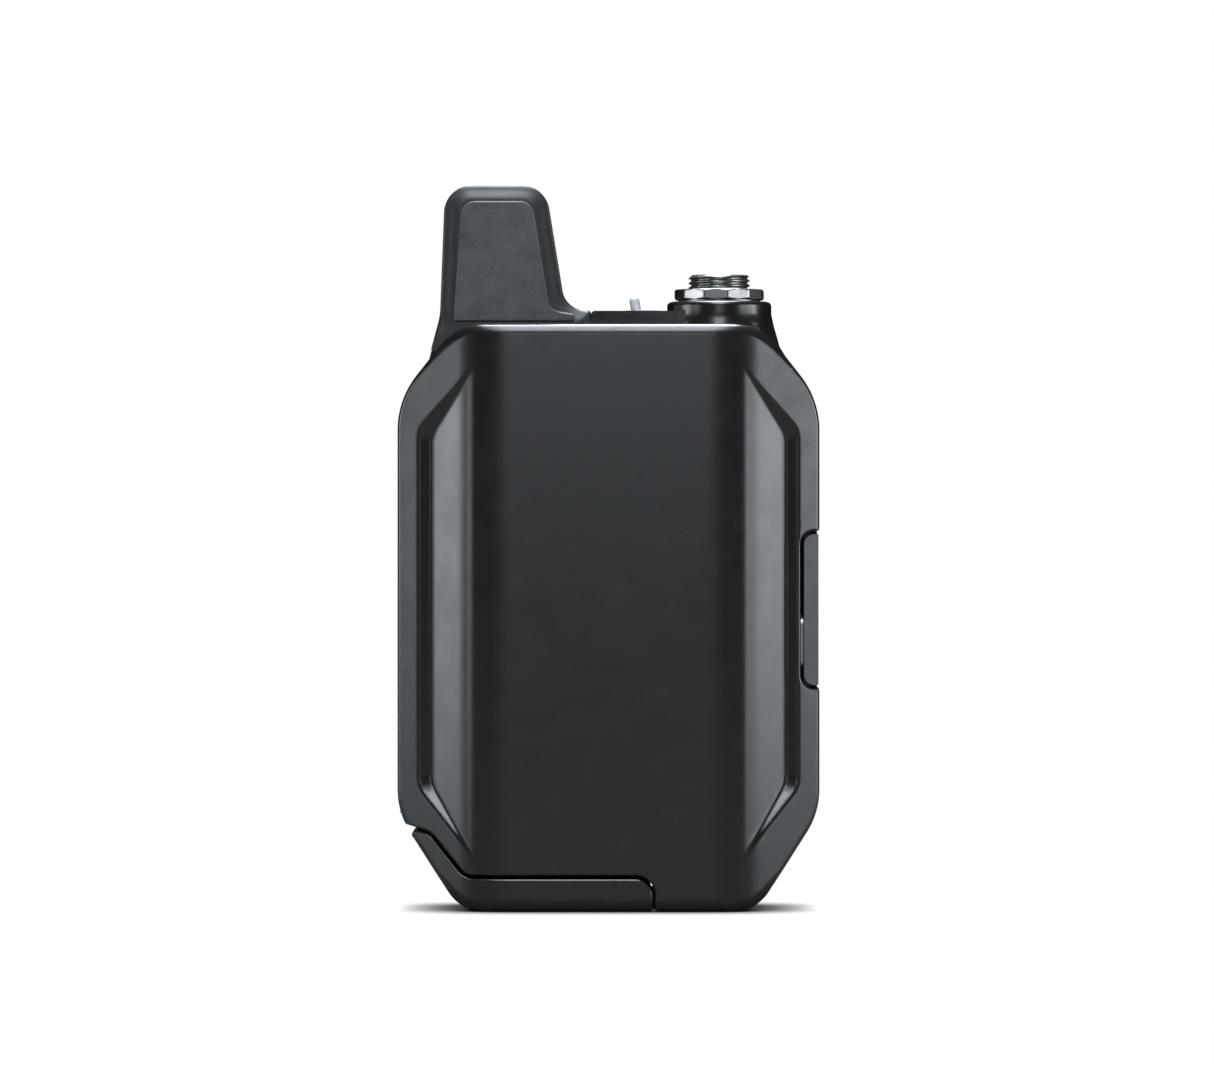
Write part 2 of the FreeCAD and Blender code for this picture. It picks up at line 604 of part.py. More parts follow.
def switch_body():
    foot = Vector(LEVER_X, LEVER_Y, SWITCH_LOW)
    solid = box(foot + Vector(-4.5, -2.75, 0), foot + Vector(4.5, 2.75, 8.6))
    solid = solid.cut(box(foot + Vector(-3.1, -1.3, 1), foot + Vector(3.1, 1.3, 20)))
    return solid.cut(rod_y(LEVER_X, LEVER_Z, 0.42, LEVER_Y - 2.5, LEVER_Y + 2.5))


def switch_slider():
    middle_x = LEVER_X + SLIDER_ARM * math.sin(math.radians(LEVER_LEAN))
    foot = Vector(middle_x, LEVER_Y, SWITCH_LOW + 1.05)
    solid = box(foot + Vector(-1.6, -1.15, 0), foot + Vector(1.6, 1.15, 1.5))
    return solid.cut(box(foot + Vector(-0.56, -0.7, 0.4), foot + Vector(0.56, 0.7, 2)))


# ---------------------------------------------------------------- side insert, button and charging socket
def side_insert():
    skin = prism(inset(BODY_CORNERS, 0.15), -20, INSERT_BACK).common(front_form(0.1))
    solid = skin.common(insert_cutout(0, -20, 20)).common(box((INSERT_X, -20, 0), (40, INSERT_BACK, 90)))
    flange = box((INSERT_X, CHASSIS_FRONT + 0.2, INSERT_LOW_Z - 1.6),
                 (INSERT_X + 1.0, INSERT_BACK + 1.6, INSERT_HIGH_Z + 1.6))
    solid = fuse(solid, flange)
    solid = solid.cut(rod_x(BUTTON_Y, BUTTON_Z, BUTTON_RADIUS + 0.05, 25, 35))
    return solid.cut(stadium_x(BUTTON_Y, USB_Z, 9.5, 3.7, 25, 35))


def stadium_x(y, z, tall, wide, low_x, high_x):
    half = tall / 2 - wide / 2
    return fuse(box((low_x, y - wide / 2, z - half), (high_x, y + wide / 2, z + half)),
                rod_x(y, z - half, wide / 2, low_x, high_x), rod_x(y, z + half, wide / 2, low_x, high_x))


def link_button():
    return fuse(rod_x(BUTTON_Y, BUTTON_Z, BUTTON_RADIUS, 29.9, HALF_WIDTH - 0.35),
                rod_x(BUTTON_Y, BUTTON_Z, 2.7, 28.95, 29.9))


def link_switch_plunger():
    return rod_x(BUTTON_Y, BUTTON_Z, 0.7, 26.2, 28.95)


def link_switch_body():
    solid = box((24.4, BUTTON_Y - 1.6, BUTTON_Z - 2.0), (28.3, IO_BOARD_Y, BUTTON_Z + 2.0))
    return solid.cut(rod_x(BUTTON_Y, BUTTON_Z, 0.75, 25.4, 30))


def usb_shell():
    solid = stadium_x(BUTTON_Y, USB_Z, 8.94, 3.16, 25.0, HALF_WIDTH - 0.3)
    return solid.cut(stadium_x(BUTTON_Y, USB_Z, 8.4, 2.6, 25.4, 40))


def usb_tongue():
    return box((25.4, BUTTON_Y - 0.35, USB_Z - 3.35), (31.4, BUTTON_Y + 0.35, USB_Z + 3.35))


# ---------------------------------------------------------------- belt clip
def belt_clip():
    tip_y = BACK + 0.8 + CLIP_WIRE
    corners = [
        Vector(12.3, CLIP_PIVOT_Y, CLIP_PIVOT_Z), Vector(CLIP_X, CLIP_PIVOT_Y, CLIP_PIVOT_Z),
        Vector(CLIP_X, CLIP_LEG_Y, 64.0), Vector(CLIP_X, CLIP_LEG_Y, 32.0),
        Vector(CLIP_X - 3.5, tip_y, CLIP_TIP_Z)]
    path = corners + [Vector(-p.x, p.y, p.z) for p in reversed(corners)]
    bends = [2.2, 6.0, 10.0, 3.2]
    edges = open_path(path, bends + bends[::-1])
    spine = Part.Wire(edges)
    ring = Part.Wire(Part.makeCircle(CLIP_WIRE, path[0], Vector(1, 0, 0)))
    return spine.makePipeShell([ring], True, False)


def open_path(points, radii):
    """Straight runs through the points, joined by tangent arcs."""
    edges = []
    last = points[0]
    for index in range(1, len(points) - 1):
        point = points[index]
        back = (points[index - 1] - point).normalize()
        ahead = (points[index + 1] - point).normalize()
        half = back.getAngle(ahead) / 2
        radius = radii[index - 1]
        reach = radius / math.tan(half)
        start = point + back * reach
        stop = point + ahead * reach
        middle = point + (back + ahead).normalize() * (radius / math.sin(half) - radius)
        edges.append(Part.LineSegment(last, start).toShape())
        edges.append(Part.Arc(start, middle, stop).toShape())
        last = stop
    edges.append(Part.LineSegment(last, points[-1]).toShape())
    return edges


def clip_lug(low_x, high_x):
    block = box((low_x, BACK, CLIP_PIVOT_Z - 2.5), (high_x, CLIP_PIVOT_Y, CLIP_PIVOT_Z + 2.5))
    solid = fuse(block, rod_x(CLIP_PIVOT_Y, CLIP_PIVOT_Z, 2.5, low_x, high_x))
    return solid.cut(rod_x(CLIP_PIVOT_Y, CLIP_PIVOT_Z, CLIP_WIRE + 0.05, low_x - 1, high_x + 1))


# ---------------------------------------------------------------- boards and fasteners
def main_board():
    board = box((-20.5, BOARD_Y, 15.0), (20.5, BOARD_Y + BOARD_THICK, 86.0))
    for x, z in BOARD_SCREWS:
        board = board.cut(rod_y(x, z, 0.8, -20, 20))
    return board


def shield_can():
    back = BOARD_Y + BOARD_THICK
    outer = box((-14.0, back, 50.0), (4.0, back + 2.0, 74.0))
    return outer.cut(box((-13.7, back - 1, 50.3), (3.7, back + 1.7, 73.7)))


def board_chips():
    back = BOARD_Y + BOARD_THICK
    places = [(-12.0, 28.0, 7.0, 7.0), (1.0, 30.0, 6.0, 6.0), (-10.5, 60.0, 6.0, 6.0),
              (-1.5, 54.0, 4.0, 4.0), (9.5, 52.0, 5.0, 8.0), (12.0, 66.0, 4.0, 3.0)]
    chips = [box((x, back, z), (x + wide, back + 1.0, z + tall)) for x, z, wide, tall in places]
    return Part.Compound(chips)


def screw_y(x, z, head_radius, shank_radius, low_y, under_head_y, high_y):
    """Screw pushed in from the back, with a cross recess in its head."""
    shank = rod_y(x, z, shank_radius, low_y, under_head_y)
    solid = fuse(shank, rod_y(x, z, head_radius, under_head_y, high_y))
    long = head_radius * 0.62
    deep = high_y - (high_y - under_head_y) * 0.6
    solid = solid.cut(box((x - long, deep, z - 0.18), (x + long, high_y + 1, z + 0.18)))
    return solid.cut(box((x - 0.18, deep, z - long), (x + 0.18, high_y + 1, z + long)))


def case_screws():
    return Part.Compound([screw_y(x, z, 1.85, 1.0, -6.0, BACK - 2.0, BACK - 0.5) for x, z in CASE_SCREWS])


def threaded_inserts():
    rings = []
    for x, z in CASE_SCREWS:
        ring = rod_y(x, z, 1.68, COVER_BACK - 3.3, COVER_BACK).cut(rod_y(x, z, 1.02, -20, 20))
        rings.append(ring)
    return Part.Compound(rings)


def board_screws():
    back = BOARD_Y + BOARD_THICK
    screws = [screw_y(x, z, 1.4, 0.6, BOARD_Y - 1.6, back, back + 0.9) for x, z in BOARD_SCREWS]
    return Part.Compound(screws)


def antenna_shell_screws():
    head_y = ANTENNA_BACK - 1.1
    screws = [screw_y(x, z, 1.5, 0.7, -1.2, head_y, ANTENNA_BACK - 0.15) for x, z in ANTENNA_SHELL_SCREWS]
    return Part.Compound(screws)


def antenna_mount_screws():
    head_top = HEIGHT - WALL
    screws = []
    for x, y in ANTENNA_MOUNT_SCREWS:
        head = rod_z(x, y, 1.4, head_top - 0.9, head_top)
        screws.append(fuse(head, rod_z(x, y, 0.74, head_top - 0.1, 92.8)))
    return Part.Compound(screws)


def switch_flex():
    return box((2.0, BOARD_Y + BOARD_THICK, SWITCH_LOW - 0.5), (8.0, -1.6, SWITCH_LOW - 0.35))


def status_led():
    return box((LED_X - 0.8, LED_Y - 0.8, SWITCH_LOW), (LED_X + 0.8, LED_Y + 0.8, SWITCH_LOW + 0.8))


PIECES = {
    "front_cover": front_cover,
    "rear_chassis": rear_chassis,
    "perimeter_seal": perimeter_seal,
    "rear_label": lambda: label_form(0),
    "battery_door": battery_door,
    "battery_pad": battery_pad,
    "door_hinge_pin": lambda: rod_y(DOOR_HINGE_X, DOOR_HINGE_Z, DOOR_PIN_RADIUS, -9.4, 9.4),
    "door_lock": door_lock,
    "battery_pack": battery_pack,
    "battery_terminals": lambda: Part.Compound([terminal(x) for x in TERMINAL_X]),
    "battery_contacts": lambda: Part.Compound([contact_spring(x) for x in TERMINAL_X]),
    "battery_bay": battery_bay,
    "antenna_front_shell": antenna_front_shell,
    "antenna_rear_shell": antenna_rear_shell,
    "antenna_face_panel": antenna_face_panel,
    "antenna_board": antenna_board,
    "antenna_contact": antenna_contact,
    "antenna_shell_screws": antenna_shell_screws,
    "antenna_mount_screws": antenna_mount_screws,
    "connector_barrel": connector_barrel,
    "connector_nut": connector_nut,
    "connector_washer": connector_washer,
    "connector_insert": connector_insert,
    "connector_pins": connector_pins,
    "switch_bezel": switch_bezel,
    "power_lever": power_lever,
    "lever_pin": lever_pin,
    "switch_body": switch_body,
    "switch_slider": switch_slider,
    "switch_board": lambda: box((-2.0, -1.6, SWITCH_LOW - 0.8), (11.0, 8.2, SWITCH_LOW)),
    "switch_flex": switch_flex,
    "status_light_pipe": lambda: rod_z(LED_X, LED_Y, 0.95, SWITCH_LOW + 0.9, DECK_TOP - 0.05),
    "status_led": status_led,
    "side_insert": side_insert,
    "link_button": link_button,
    "link_switch_plunger": link_switch_plunger,
    "link_switch_body": link_switch_body,
    "usb_shell": usb_shell,
    "usb_tongue": usb_tongue,
    "io_board": lambda: box((14.0, IO_BOARD_Y, 34.5), (28.3, IO_BOARD_Y + 0.8, 58.0)),
    "io_flex": lambda: box((13.8, BOARD_Y + BOARD_THICK, 44.0), (13.95, IO_BOARD_Y + 0.8, 50.0)),
    "belt_clip": belt_clip,
    "clip_lugs": lambda: Part.Compound([clip_lug(-15.6, -12.0), clip_lug(12.0, 15.6)]),
    "main_board": main_board,
    "shield_can": shield_can,
    "board_chips": board_chips,
    "case_screws": case_screws,
    "threaded_inserts": threaded_inserts,
    "board_screws": board_screws,
}

os.makedirs("parts", exist_ok=True)
for node, make in PIECES.items():
    make().exportStep("parts/" + node + ".step")
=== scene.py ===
"""Looks of the wireless bodypack transmitter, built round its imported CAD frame.

Shapes are worked out in millimetres, in the frame's own axes, and become metres when a mesh is made.
Outlines are seen from the front: x to the right, z up, anticlockwise.
"""
import json
import math

import bmesh
import bpy
import numpy as np
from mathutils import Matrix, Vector
from mathutils.geometry import delaunay_2d_cdt

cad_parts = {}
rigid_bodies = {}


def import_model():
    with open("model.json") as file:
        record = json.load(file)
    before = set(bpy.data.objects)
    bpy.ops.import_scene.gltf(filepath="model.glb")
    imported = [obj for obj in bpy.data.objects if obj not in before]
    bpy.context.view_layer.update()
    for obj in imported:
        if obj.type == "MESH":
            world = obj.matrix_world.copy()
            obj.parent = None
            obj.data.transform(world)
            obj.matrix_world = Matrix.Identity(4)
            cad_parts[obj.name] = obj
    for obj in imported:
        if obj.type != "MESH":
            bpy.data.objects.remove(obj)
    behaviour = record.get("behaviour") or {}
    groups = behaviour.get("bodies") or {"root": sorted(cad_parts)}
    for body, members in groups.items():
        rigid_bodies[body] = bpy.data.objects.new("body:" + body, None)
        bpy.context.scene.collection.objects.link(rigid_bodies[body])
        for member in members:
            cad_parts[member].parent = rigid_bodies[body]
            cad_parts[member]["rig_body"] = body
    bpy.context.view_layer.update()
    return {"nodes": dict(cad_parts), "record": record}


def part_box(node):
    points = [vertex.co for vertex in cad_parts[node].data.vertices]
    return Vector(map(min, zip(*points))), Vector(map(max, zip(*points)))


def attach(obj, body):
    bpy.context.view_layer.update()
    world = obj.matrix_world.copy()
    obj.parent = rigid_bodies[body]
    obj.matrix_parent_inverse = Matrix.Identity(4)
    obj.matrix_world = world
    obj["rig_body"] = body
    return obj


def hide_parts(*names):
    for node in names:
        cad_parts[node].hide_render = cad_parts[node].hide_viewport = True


MM = 0.001
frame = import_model()


def extent(node):
    low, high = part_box(node)
    return low / MM, high / MM


# ---------------------------------------------------------------- sizes that follow the frame
COVER_LOW, COVER_HIGH = extent("front_cover")
CHASSIS_LOW, CHASSIS_HIGH = extent("rear_chassis")
HALF_WIDTH = COVER_HIGH.x
HEIGHT = COVER_HIGH.z
FRONT = COVER_LOW.y
COVER_BACK = COVER_HIGH.y
BACK = CHASSIS_HIGH.y
WALL = 1.3
BACK_RADIUS = 2.2
OUTSIDE_X = 40.0            # any place past the body's sides

# Corners of the body: x, z, corner radius.
RIGHT_CORNERS = [(22.7, 0.0, 6.4), (HALF_WIDTH, 15.0, 12.0), (HALF_WIDTH, 78.6, 13.3), (23.3, HEIGHT, 9.0)]
BODY_CORNERS = RIGHT_CORNERS + [(-x, z, radius) for x, z, radius in reversed(RIGHT_CORNERS)]

# The front is flat in the middle, rolls over and slopes back; a steeper facet is sunk into each slope.
FLAT_HALF = 15.2
ROLL_RADIUS = 19.4
SLOPE_ANGLE = math.radians(25.0)
FACET_ANGLE = math.radians(35.0)
FACET_EDGE_X = 27.2
FACET_EDGE_DROP = 4.99
POCKET_EDGE_X = 29.2
POCKET_TOP_Z = 74.1
POCKET_LOW_Z = 19.0
POCKET_TOP_ANGLE = math.radians(42.5)
POCKET_LOW_ANGLE = math.radians(39.0)
POCKET_WALL_GRADE = 0.70
POCKET_CORNER_EASE = 1.0    # widths of the round crossings between the front's surfaces
POCKET_RIM_EASE = 0.22
POCKET_FOOT_EASE = 0.3
FACET_EASE = 0.5

# Rounding of the front's outer edge: along the sides, and how much is added along the top and the bottom.
RIM_RADIUS = 0.5
RIM_TOP_EXTRA = 1.0
RIM_LOW_EXTRA = 1.3

DOOR_END_X = extent("battery_door")[1].x
DOOR_HINGE_X = 5.0
DOOR_HINGE_Z = 1.7
DOOR_CORNERS = [
    (DOOR_END_X, -5.0, 0.0), (DOOR_END_X, 5.1, 2.6), (-22.11, 5.1, 3.0), (-27.53, 11.72, 2.3),
    (-OUTSIDE_X, 15.28, 0.0), (-OUTSIDE_X, -5.0, 0.0)]
DOOR_GAP = 0.5
KNUCKLE_RADIUS = 1.4
HINGE_PIN_ROOM = 0.56       # radius
LUG_LOW_Y = CHASSIS_LOW.y + 0.1
LUG_HIGH_Y = 7.5
KNUCKLE_END_Y = 10.4
LOCK_BOLT_X = -28.25
LOCK_BOLT_Z = 13.5
BOLT_HOLE_RADIUS = 0.45
SEAM_RADIUS = 0.3           # rounding of the cover's and door's edges along their gap

INSERT_X = extent("side_insert")[0].x
INSERT_LOW_Z = 34.7
INSERT_HIGH_Z = 57.9
INSERT_GAP = 0.55
INSERT_CORNER_RADIUS = 2.15

ANTENNA_FRONT = extent("antenna_front_shell")[0].y
ANTENNA_SPLIT = extent("antenna_front_shell")[1].y
ANTENNA_CORNERS = [
    (-28.1, 83.9, 0.0), (-2.705, 83.9, 0.0), (-2.705, 92.5, 0.5), (-6.6, 92.5, 3.6),
    (-9.73, 111.8, 4.3), (-25.27, 111.8, 4.3), (-26.05, 91.6, 10.0)]
PANEL_CORNERS = [
    (-24.0, 90.7, 0.5), (-5.2, 90.7, 0.5), (-5.2, 91.9, 0.5), (-9.0, 92.6, 2.4),
    (-11.7, 109.4, 2.2), (-22.8, 109.4, 2.2)]
PANEL_GAP = 0.05
PANEL_RECESS = 0.6

LEVER_X = 5.3
LEVER_Y = 1.5
LEVER_Z = 86.1              # height of the lever's pin
LEVER_STRETCH = 1.075
LEVER_HEAD = 4.0            # the stretched part starts this far above the pin

DECK_FRONT = -2.85
DECK_LEFT = -2.7
DECK_RIGHT = 12.5           # where the round boss takes over
DECK_FADE = 3.0             # the undercut dies out over this width
DECK_TOP = extent("switch_bezel")[1].z
DECK_LEAN = 0.17            # undercut of the deck's front wall, per unit of depth below its top

NUT_LOW_CORNER, NUT_HIGH_CORNER = extent("connector_nut")
BARREL_LOW, BARREL_HIGH = extent("connector_barrel")
CONNECTOR_X = (BARREL_LOW.x + BARREL_HIGH.x) / 2
CONNECTOR_Y = (BARREL_LOW.y + BARREL_HIGH.y) / 2
THREAD_PITCH = 0.75
THREAD_START = 0.25         # height by which the helix is shifted
THREAD_DEPTH = 0.42
NUT_SIDES = 12
NUT_TURN = math.radians(5.625)


# ---------------------------------------------------------------- flat outlines
def rounded(corners, step=0.35):
    """Closed outline through x, z, radius corners, as points about one step apart."""
    points = []
    for index in range(len(corners)):
        corner = np.array(corners[index][:2], float)
        radius = corners[index][2]
        if radius == 0:
            points.append(corner)
            continue
        back = unit(np.array(corners[index - 1][:2]) - corner)
        ahead = unit(np.array(corners[(index + 1) % len(corners)][:2]) - corner)
        half = math.acos(np.clip(back @ ahead, -1, 1)) / 2
        centre = corner + unit(back + ahead) * radius / math.sin(half)
        start = corner + back * radius / math.tan(half) - centre
        turn = math.copysign(math.pi - 2 * half, back[1] * ahead[0] - back[0] * ahead[1])
        pieces = max(4, math.ceil(abs(turn) * radius / step), math.ceil(abs(turn) / math.radians(9)))
        first = math.atan2(start[1], start[0])
        for share in range(pieces + 1):
            angle = first + turn * share / pieces
            points.append(centre + radius * np.array([math.cos(angle), math.sin(angle)]))
    return subdivided(np.array(points), step)


def unit(vector):
    return vector / np.linalg.norm(vector)


def subdivided(points, step):
    """The same closed outline, with its long runs split up."""
    out = []
    for start, stop in zip(points, np.roll(points, -1, axis=0)):
        pieces = max(1, round(np.linalg.norm(stop - start) / step))
        out += [start + (stop - start) * share / pieces for share in range(pieces)]
    return np.array(out)


def outward(outline):
    """Unit vector away from the filled side at each point."""
    ahead = np.roll(outline, -1, axis=0) - outline
    ahead /= np.linalg.norm(ahead, axis=1)[:, None]
    along = ahead + np.roll(ahead, 1, axis=0)
    along /= np.linalg.norm(along, axis=1)[:, None]
    return np.stack([along[:, 1], -along[:, 0]], axis=1)


def grown(outline, distance):
    return outline + outward(outline) * distance


def inside(points, outline):
    """True for each point within the closed outline."""
    x = points[:, 0, None]
    z = points[:, 1, None]
    stop = np.roll(outline, -1, axis=0)
    rise = stop[:, 1] - outline[:, 1]
    rise = np.where(rise == 0, 1e-12, rise)
    crosses = (outline[:, 1] > z) != (stop[:, 1] > z)
    at_x = outline[:, 0] + (stop[:, 0] - outline[:, 0]) * (z - outline[:, 1]) / rise
    return np.count_nonzero(crosses & (x < at_x), axis=1) % 2 == 1


def distance(points, outline):
    """Shortest way from each point to the closed outline."""
    run = np.roll(outline, -1, axis=0) - outline
    length = (run ** 2).sum(1)
    nearest = np.empty(len(points))
    batch = 2000
    for first in range(0, len(points), batch):
        gap = points[first:first + batch, None] - outline
        share = np.clip((gap * run).sum(2) / length, 0, 1)
        nearest[first:first + batch] = np.sqrt(((gap - share[..., None] * run) ** 2).sum(2)).min(1)
    return nearest


def meeting(a, b, c, d):
    """Where the line through a and b crosses the line through c and d."""
    first = b - a
    second = d - c
    across = first[0] * second[1] - first[1] * second[0]
    share = ((c[0] - a[0]) * second[1] - (c[1] - a[1]) * second[0]) / across
    return a + first * share


def clipped(outline, tool, keep_inside, radius):
    """The outline's part inside or outside the tool, closed along the tool's edge.

    Its two new corners are rounded to the radius.
    """
    kept = inside(outline, tool) == keep_inside
    first = int(np.flatnonzero(kept & ~np.roll(kept, 1))[0])
    outline = np.roll(outline, -first, axis=0)
    count = int(kept.sum())
    within = inside(tool, outline)
    first = int(np.flatnonzero(within & ~np.roll(within, 1))[0])
    tool = np.roll(tool, -first, axis=0)
    edge_count = int(within.sum())
    ends = (tool[-1], tool[edge_count])
    edge = tool[:edge_count]
    if np.linalg.norm(edge[0] - outline[count - 1]) > np.linalg.norm(edge[-1] - outline[count - 1]):
        edge = edge[::-1]
        ends = ends[::-1]
    entry = meeting(outline[count - 1], outline[count], ends[0], edge[0])
    leaving = meeting(outline[-1], outline[0], ends[1], edge[-1])
    path = np.vstack([outline[:count], entry, edge, leaving])
    return eased(eased(path, entry, radius), leaving, radius)


def eased(path, corner, radius):
    """The closed path with one corner turned into an arc of that radius."""
    nearest = int(np.argmin(((path - corner) ** 2).sum(1)))
    middle = len(path) // 2
    path = np.roll(path, middle - nearest, axis=0)
    steps = np.linalg.norm(np.diff(path, axis=0), axis=1)
    along = np.concatenate([[0], np.cumsum(steps)]) - steps[:middle].sum()
    spots = [np.array([np.interp(way, along, path[:, axis]) for axis in (0, 1)]) for way in (-radius, radius)]
    back, ahead = (unit(spot - corner) for spot in spots)
    half = math.acos(back @ ahead) / 2
    reach = radius / math.tan(half)
    centre = corner + unit(back + ahead) * radius / math.sin(half)
    first, last = (math.atan2(*(corner + way * reach - centre)[::-1]) for way in (back, ahead))
    turn = (last - first + math.pi) % (2 * math.pi) - math.pi
    angles = first + turn * np.linspace(0, 1, 9)
    bend = centre + radius * np.stack([np.cos(angles), np.sin(angles)], axis=1)
    return np.vstack([path[along < -reach - 0.06], bend, path[along > reach + 0.06]])


# ---------------------------------------------------------------- surfaces over an outline
EDGE_INSETS = (0.0, 0.01, 0.035, 0.075, 0.13, 0.2, 0.28, 0.36)


def plan(outline, places, clear=0.16):
    """Points, faces and edge distances that fill an outline: rings along its edge, then triangles."""
    count = len(outline)
    rings = [grown(outline, -inset) for inset in EDGE_INSETS]
    inner = rings[-1]
    fill = places[inside(places, inner)]
    fill = fill[distance(fill, inner) > clear]
    spots = [Vector(point) for point in np.vstack([inner, fill])]
    result = delaunay_2d_cdt(spots, [], [list(range(count))], 1, 1e-7)
    offset = (len(rings) - 1) * count
    renumbered = [offset + source[0] for source in result[3]]
    faces = [[renumbered[corner] for corner in triangle] for triangle in result[2]]
    for ring in range(len(rings) - 1):
        for index in range(count):
            after = (index + 1) % count
            faces.append([ring * count + index, ring * count + after,
                          (ring + 1) * count + after, (ring + 1) * count + index])
    gaps = np.concatenate([np.repeat(EDGE_INSETS, count), np.full(len(fill), 99.0)])
    return np.vstack(rings + [fill]), faces, gaps


def block(name, outline, front, back, front_places, back_places):
    """Closed solid between two surfaces; front and back give y from the points and their edge distance."""
    front_plan, front_faces, front_gaps = plan(outline, front_places)
    back_plan, back_faces, back_gaps = plan(outline, back_places)
    front_points = np.insert(front_plan, 1, front(front_plan, front_gaps), axis=1)
    back_points = np.insert(back_plan, 1, back(back_plan, back_gaps), axis=1)
    shift = len(front_points)
    faces = front_faces + [[corner + shift for corner in reversed(face)] for face in back_faces]
    count = len(outline)
    for index in range(count):
        after = (index + 1) % count
        faces.append([index, index + shift, after + shift, after])
    return new_object(name, np.vstack([front_points, back_points]), faces)


def new_object(name, points, faces):
    mesh = bpy.data.meshes.new(name)
    mesh.from_pydata((np.array(points) * MM).tolist(), [], faces)
    mesh.validate()
    made = bpy.data.objects.new(name, mesh)
    bpy.context.scene.collection.objects.link(made)
    return made


def lattice(xs, zs):
    return np.array(np.meshgrid(xs, zs)).reshape(2, -1).T


def bands(*stretches):
    """Values from low to high in stretches of (low, high, step)."""
    return np.unique(np.concatenate([np.arange(low, high, step) for low, high, step in stretches]))


def edge_rows(outline, insets):
    """Rows of points beside the outline, without those that a tight bend pushes across it."""
    rows = []
    for inset in insets:
        row = grown(outline, -inset)
        rows.append(row[distance(row, outline) > inset * 0.97])
    return rows


def carve(made, *tools):
    """Cuts the tools out of the object and removes them."""
    for tool in tools:
        cut = made.modifiers.new("cut", "BOOLEAN")
        cut.operation = "DIFFERENCE"
        cut.solver = "EXACT"
        cut.object = tool
    settle(made)
    for tool in tools:
        bpy.data.objects.remove(tool)


def settle(made):
    """Turns the object's modifiers into plain mesh."""
    graph = bpy.context.evaluated_depsgraph_get()
    mesh = bpy.data.meshes.new_from_object(made.evaluated_get(graph), depsgraph=graph)
    made.modifiers.clear()
    made.data = mesh


def add(made, *others):
    """Joins other closed forms into the object's mesh."""
    work = bmesh.new()
    work.from_mesh(made.data)
    for other in others:
        work.from_mesh(other.data)
        bpy.data.objects.remove(other)
    work.to_mesh(made.data)
    work.free()


def smooth(made, sharp_angle=32.0):
    """Smooth shading that keeps sharp edges sharp and large faces flat."""
    made.data.shade_smooth()
    made.data.set_sharp_from_angle(angle=math.radians(sharp_angle))
    weighted = made.modifiers.new("weighted", "WEIGHTED_NORMAL")
    weighted.keep_sharp = True
    weighted.weight = 100
    settle(made)


def cuboid(low, high):
    points = [(x, y, z) for x in (low[0], high[0]) for y in (low[1], high[1]) for z in (low[2], high[2])]
    faces = [(0, 1, 3, 2), (4, 6, 7, 5), (0, 4, 5, 1), (2, 3, 7, 6), (0, 2, 6, 4), (1, 5, 7, 3)]
    return new_object("cuboid", points, faces)


def lathe(name, profile, centre, sides, radius_at=None, axis="z"):
    """Closed ring or disc turned from a closed profile of (radius, height) points."""
    points = []
    for radius, height in profile:
        for step in range(sides):
            angle = 2 * math.pi * step / sides
            reach = radius_at(radius, height, angle) if radius_at else radius
            across, up = reach * math.cos(angle), reach * math.sin(angle)
            place = (across, up, height) if axis == "z" else (across, height, up)
            points.append(np.array(centre) + place)
    faces = []
    rows = len(profile)
    for row in range(rows):
        after_row = (row + 1) % rows
        for step in range(sides):
            after = (step + 1) % sides
            quad = [row * sides + step, row * sides + after,
                    after_row * sides + after, after_row * sides + step]
            faces.append(quad if axis == "z" else quad[::-1])
    return new_object(name, points, faces)


# ---------------------------------------------------------------- front relief
def lower(a, b, width):
    """The lower of two heights, with a round crossing of that width."""
    width = np.maximum(width, 1e-6)
    share = np.clip(0.5 + 0.5 * (b - a) / width, 0, 1)
    return b + (a - b) * share - width * share * (1 - share)


def higher(a, b, width):
    return -lower(-a, -b, width)


def rolled(gap, radius):
    """Depth of a quarter-round edge of that radius, at a distance from the edge."""
    left = radius - np.clip(gap, 0, radius)
    return radius - np.sqrt(np.maximum(radius ** 2 - left ** 2, 0))


def eased_step(value, low, high):
    share = np.clip((value - low) / (high - low), 0, 1)
    return share * share * (3 - 2 * share)


def from_end_wall(x, within, angle):
    """How far inside a facet's slanted end wall a place is, from how far within the wall's corner it is."""
    return (POCKET_EDGE_X - x) * math.cos(angle) + within * math.sin(angle)


def relief(points):
    """Depth of the front below its flat middle."""
    x = np.abs(points[:, 0])
    z = points[:, 1]
    roll_reach = ROLL_RADIUS * math.sin(SLOPE_ANGLE)
    roll = ROLL_RADIUS - np.sqrt(ROLL_RADIUS ** 2 - np.clip(x - FLAT_HALF, 0, roll_reach) ** 2)
    slope = roll + np.maximum(x - FLAT_HALF - roll_reach, 0) * math.tan(SLOPE_ANGLE)
    facet = FACET_EDGE_DROP - (FACET_EDGE_X - x) * math.tan(FACET_ANGLE)
    sunk = higher(facet - slope, 0, FACET_EASE)
    top_side = from_end_wall(x, POCKET_TOP_Z - z, POCKET_TOP_ANGLE)
    low_side = from_end_wall(x, z - POCKET_LOW_Z, POCKET_LOW_ANGLE)
    within = lower(POCKET_EDGE_X - x, top_side, POCKET_CORNER_EASE)
    within = lower(within, low_side, POCKET_CORNER_EASE)
    wall = higher(POCKET_WALL_GRADE * within, 0, POCKET_RIM_EASE)
    foot_ease = POCKET_FOOT_EASE * np.clip((sunk + wall) / (2 * POCKET_FOOT_EASE), 0, 1)
    return slope + lower(sunk, wall, foot_ease)


BODY_OUTLINE = rounded(BODY_CORNERS)


